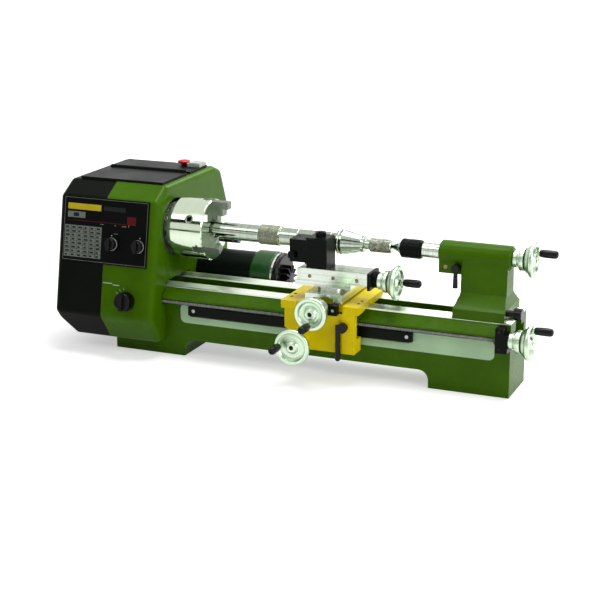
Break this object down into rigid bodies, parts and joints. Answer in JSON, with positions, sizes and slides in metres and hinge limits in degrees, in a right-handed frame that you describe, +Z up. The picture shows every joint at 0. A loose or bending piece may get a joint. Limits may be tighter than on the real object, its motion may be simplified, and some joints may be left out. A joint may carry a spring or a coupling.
{
  "type": "precision lathe",
  "caption": "Bench lathe with enclosed belt-driven headstock, three-jaw chuck, geared feed, carriage with compound slide, and a tailstock with live centre.",
  "frame": {"origin": "centre of the bench bolt pattern, on the plane that the feet stand on", "axes": "+X along the bed from the headstock towards the tailstock, +Y away from the operator, +Z up"},
  "size_m": [0.8275, 0.3704, 0.2922],
  "materials": {
    "green_paint": "semi-gloss olive green enamel",
    "green_motor": "semi-gloss green enamel, black rear cap",
    "dark_cover": "semi-gloss near-black",
    "pale_trim": "satin pale grey-green",
    "black_panel": "matt black laminate",
    "black_parts": "black oxide",
    "black_plastic": "moulded black",
    "red_plastic": "glossy red",
    "yellow_paint": "semi-gloss yellow enamel",
    "bright_steel": "ground and polished",
    "cast_grey": "as cast",
    "gear_steel": "hobbed, oiled",
    "bronze": "machined",
    "bright_alloy": "turned, satin",
    "belt_rubber": "matt"
  },
  "bodies": {
    "bed": {"bed": "green_paint", "front_trim": "pale_trim", "rack": "black_parts", "headstock_casing": "green_paint", "end_cover": "dark_cover", "top_plate": "dark_cover", "control_panel": "black_panel", "headstock_frame": "cast_grey", "spindle_bearings": "bright_steel", "motor": "green_motor", "estop_box": "dark_cover", "leadscrew_bracket": "black_parts", "drive_belt": "belt_rubber", "power_inlet": "black_plastic"},
    "spindle": {"spindle": "bright_steel", "chuck_body": "bright_steel", "spindle_pulley": "bright_alloy", "spindle_gear": "gear_steel", "workpiece": "bright_steel"},
    "chuck_key_socket": {"chuck_key_socket": "bright_steel"},
    "jaw_1": {"jaw_1": "bright_steel"},
    "jaw_2": {"jaw_2": "bright_steel"},
    "jaw_3": {"jaw_3": "bright_steel"},
    "motor_pulley": {"motor_pulley": "bright_alloy"},
    "idler_gear": {"idler_gear": "gear_steel"},
    "feed_gear": {"feed_gear": "gear_steel"},
    "leadscrew": {"leadscrew": "bright_steel", "leadscrew_wheel": "bright_alloy"},
    "leadscrew_grip": {"leadscrew_grip": "black_plastic"},
    "belt_lid": {"belt_lid": "dark_cover"},
    "estop_button": {"estop_button": "red_plastic"},
    "main_switch": {"main_switch": "black_plastic"},
    "direction_switch": {"direction_switch": "black_plastic"},
    "feed_knob": {"feed_knob": "black_plastic"},
    "carriage": {"saddle": "yellow_paint", "apron": "yellow_paint", "cross_bracket": "black_parts"},
    "carriage_wheel": {"carriage_wheel": "bright_alloy", "carriage_pinion": "bright_steel"},
    "carriage_grip": {"carriage_grip": "black_plastic"},
    "half_nut_lever": {"half_nut_lever": "black_plastic"},
    "half_nut": {"half_nut": "bronze"},
    "cross_slide": {"cross_slide": "bright_alloy"},
    "cross_wheel": {"cross_wheel": "bright_alloy"},
    "cross_grip": {"cross_grip": "black_plastic"},
    "compound_base": {"compound_base": "bright_alloy"},
    "compound_slide": {"compound_slide": "bright_alloy", "compound_bracket": "black_parts", "tool_post": "black_parts", "tool_holder": "black_parts"},
    "compound_wheel": {"compound_wheel": "bright_alloy"},
    "compound_grip": {"compound_grip": "black_plastic"},
    "tailstock": {"tailstock": "green_paint", "tailstock_clamp_plate": "bright_steel"},
    "quill": {"quill": "bright_steel"},
    "live_centre": {"live_centre": "black_parts"},
    "tail_wheel": {"tail_wheel": "bright_alloy"},
    "tail_grip": {"tail_grip": "black_plastic"},
    "quill_lock": {"quill_lock": "black_plastic"},
    "tail_clamp": {"tail_clamp": "black_plastic"}
  },
  "joints": [
    {"name": "spindle_turn", "type": "hinge", "parent": "bed", "child": "spindle", "pos_m": [-0.323, 0, 0.207], "axis": [1, 0, 0], "continuous": true},
    {"name": "motor_turn", "type": "hinge", "parent": "bed", "child": "motor_pulley", "pos_m": [-0.373, 0.105, 0.107], "axis": [1, 0, 0], "continuous": true},
    {"name": "idler_turn", "type": "hinge", "parent": "bed", "child": "idler_gear", "pos_m": [-0.363, -0.00614, 0.14732], "axis": [1, 0, 0], "continuous": true},
    {"name": "feed_gear_turn", "type": "hinge", "parent": "bed", "child": "feed_gear", "pos_m": [-0.363, -0.0515, 0.094], "axis": [1, 0, 0], "continuous": true},
    {"name": "leadscrew_turn", "type": "hinge", "parent": "bed", "child": "leadscrew", "pos_m": [0.327, -0.0515, 0.094], "axis": [1, 0, 0], "continuous": true},
    {"name": "leadscrew_grip_turn", "type": "hinge", "parent": "leadscrew", "child": "leadscrew_grip", "pos_m": [0.387, -0.04563, 0.11207], "axis": [1, 0, 0], "continuous": true},
    {"name": "chuck_key_turn", "type": "hinge", "parent": "spindle", "child": "chuck_key_socket", "pos_m": [-0.197, -0.03464, 0.227], "axis": [0, -0.866, 0.5], "range_deg": [-10, 2200]},
    {"name": "jaw_1_slide", "type": "slide", "parent": "spindle", "child": "jaw_1", "axis": [0, 0, 1], "range_m": [0, 0.01]},
    {"name": "jaw_2_slide", "type": "slide", "parent": "spindle", "child": "jaw_2", "axis": [0, -0.866, -0.5], "range_m": [0, 0.01]},
    {"name": "jaw_3_slide", "type": "slide", "parent": "spindle", "child": "jaw_3", "axis": [0, 0.866, -0.5], "range_m": [0, 0.01]},
    {"name": "belt_lid_hinge", "type": "hinge", "parent": "bed", "child": "belt_lid", "pos_m": [-0.329, 0.067, 0.283], "axis": [-1, 0, 0], "range_deg": [0, 95]},
    {"name": "estop_press", "type": "slide", "parent": "bed", "child": "estop_button", "axis": [0, 0, -1], "range_m": [0, 0.004], "stiffness_N_per_m": 800},
    {"name": "main_switch_turn", "type": "hinge", "parent": "bed", "child": "main_switch", "pos_m": [-0.321, -0.0741, 0.186], "axis": [0, -0.9814, 0.1921], "range_deg": [0, 90]},
    {"name": "direction_switch_turn", "type": "hinge", "parent": "bed", "child": "direction_switch", "pos_m": [-0.272, -0.0741, 0.186], "axis": [0, -0.9814, 0.1921], "range_deg": [-45, 45]},
    {"name": "feed_knob_turn", "type": "hinge", "parent": "bed", "child": "feed_knob", "pos_m": [-0.291, -0.09152, 0.097], "axis": [0, -0.9814, 0.1921], "range_deg": [-60, 60]},
    {"name": "carriage_slide", "type": "slide", "parent": "bed", "child": "carriage", "axis": [1, 0, 0], "range_m": [-0.085, 0.02]},
    {"name": "carriage_wheel_turn", "type": "hinge", "parent": "carriage", "child": "carriage_wheel", "pos_m": [0.011, -0.077, 0.062], "axis": [0, 1, 0], "range_deg": [-140, 560]},
    {"name": "carriage_grip_turn", "type": "hinge", "parent": "carriage_wheel", "child": "carriage_grip", "pos_m": [-0.01, -0.125, 0.062], "axis": [0, 1, 0], "continuous": true},
    {"name": "half_nut_lever_turn", "type": "hinge", "parent": "carriage", "child": "half_nut_lever", "pos_m": [0.084, -0.075, 0.094], "axis": [0, 1, 0], "range_deg": [-2, 64]},
    {"name": "half_nut_slide", "type": "slide", "parent": "carriage", "child": "half_nut", "axis": [0, 1, 0], "range_m": [0, 0.003]},
    {"name": "cross_slide_slide", "type": "slide", "parent": "carriage", "child": "cross_slide", "axis": [0, 1, 0], "range_m": [-0.0095, 0.003]},
    {"name": "cross_wheel_turn", "type": "hinge", "parent": "carriage", "child": "cross_wheel", "pos_m": [0.051, -0.087, 0.1256], "axis": [0, 1, 0], "range_deg": [-3480, 1140]},
    {"name": "cross_grip_turn", "type": "hinge", "parent": "cross_wheel", "child": "cross_grip", "pos_m": [0.04849, -0.145, 0.10778], "axis": [0, 1, 0], "continuous": true},
    {"name": "compound_swivel", "type": "hinge", "parent": "cross_slide", "child": "compound_base", "pos_m": [0.051, -0.042, 0.146], "axis": [0, 0, 1], "range_deg": [-4, 45]},
    {"name": "compound_slide_slide", "type": "slide", "parent": "compound_base", "child": "compound_slide", "axis": [-1, 0, 0], "range_m": [-0.005, 0.025]},
    {"name": "compound_wheel_turn", "type": "hinge", "parent": "compound_slide", "child": "compound_wheel", "pos_m": [0.121, -0.042, 0.1621], "axis": [-1, 0, 0], "range_deg": [-1860, 9060]},
    {"name": "compound_grip_turn", "type": "hinge", "parent": "compound_wheel", "child": "compound_grip", "pos_m": [0.175, -0.02342, 0.15815], "axis": [1, 0, 0], "continuous": true},
    {"name": "tailstock_slide", "type": "slide", "parent": "bed", "child": "tailstock", "axis": [1, 0, 0], "range_m": [0, 0.008]},
    {"name": "quill_slide", "type": "slide", "parent": "tailstock", "child": "quill", "axis": [-1, 0, 0], "range_m": [-0.02, 0]},
    {"name": "live_centre_turn", "type": "hinge", "parent": "quill", "child": "live_centre", "pos_m": [0.175, 0, 0.207], "axis": [1, 0, 0], "continuous": true},
    {"name": "tail_wheel_turn", "type": "hinge", "parent": "tailstock", "child": "tail_wheel", "pos_m": [0.322, 0, 0.207], "axis": [-1, 0, 0], "range_deg": [-4860, 60]},
    {"name": "tail_grip_turn", "type": "hinge", "parent": "tail_wheel", "child": "tail_grip", "pos_m": [0.377, 0.01762, 0.21412], "axis": [1, 0, 0], "continuous": true},
    {"name": "quill_lock_turn", "type": "hinge", "parent": "tailstock", "child": "quill_lock", "pos_m": [0.244, 0, 0.189], "axis": [0, 1, 0], "range_deg": [-30, 30]},
    {"name": "tail_clamp_turn", "type": "hinge", "parent": "tailstock", "child": "tail_clamp", "pos_m": [0.327, -0.03, 0.1295], "axis": [1, 0, 0], "range_deg": [0, 90]}
  ],
  "couplings": [
    {"joint": "motor_turn", "follows": "spindle_turn", "ratio": 2.4706},
    {"joint": "idler_turn", "follows": "spindle_turn", "ratio": -0.5},
    {"joint": "feed_gear_turn", "follows": "spindle_turn", "ratio": 0.66667},
    {"joint": "jaw_2_slide", "follows": "jaw_1_slide", "ratio": 1},
    {"joint": "jaw_3_slide", "follows": "jaw_1_slide", "ratio": 1},
    {"joint": "chuck_key_turn", "follows": "jaw_1_slide", "rad_per_m": 3769.9},
    {"joint": "carriage_wheel_turn", "follows": "carriage_slide", "rad_per_m": -111.11},
    {"joint": "half_nut_lever_turn", "follows": "half_nut_slide", "rad_per_m": 349.07},
    {"joint": "cross_wheel_turn", "follows": "cross_slide_slide", "rad_per_m": 6283.2},
    {"joint": "compound_wheel_turn", "follows": "compound_slide_slide", "rad_per_m": 6283.2},
    {"joint": "tail_wheel_turn", "follows": "quill_slide", "rad_per_m": 4188.8}
  ]
}
